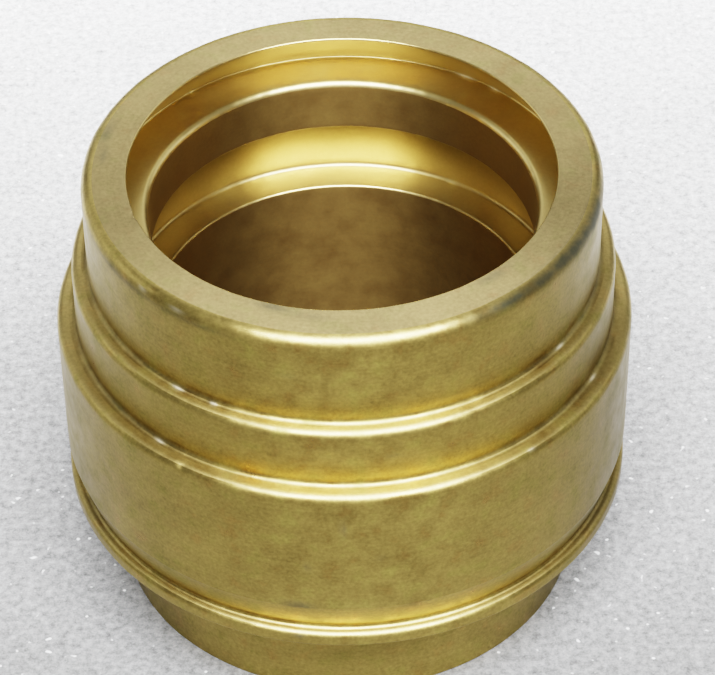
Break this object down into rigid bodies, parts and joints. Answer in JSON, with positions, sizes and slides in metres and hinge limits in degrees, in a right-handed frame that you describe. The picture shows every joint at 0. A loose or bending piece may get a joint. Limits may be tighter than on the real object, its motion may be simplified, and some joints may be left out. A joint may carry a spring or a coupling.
{
  "type": "bronze sleeve bushing",
  "caption": "Thick-walled turned bronze sleeve bushing with a stepped outside, relief and ring above a nose, undercut mouth recess and inner ring groove.",
  "frame": {"origin": "centre of the bottom face, on the bore axis, which is also the centre of the face it stands on", "axes": "+Z along the bore axis, from the nose at the bottom to the collar at the top; the part is turned, so X and Y are free"},
  "size_m": [0.091, 0.091, 0.077],
  "materials": {
    "bronze": "satin machined bronze with fine circumferential turning marks and light handling stains"
  },
  "bodies": {
    "root": {"sleeve": "bronze"}
  },
  "joints": []
}
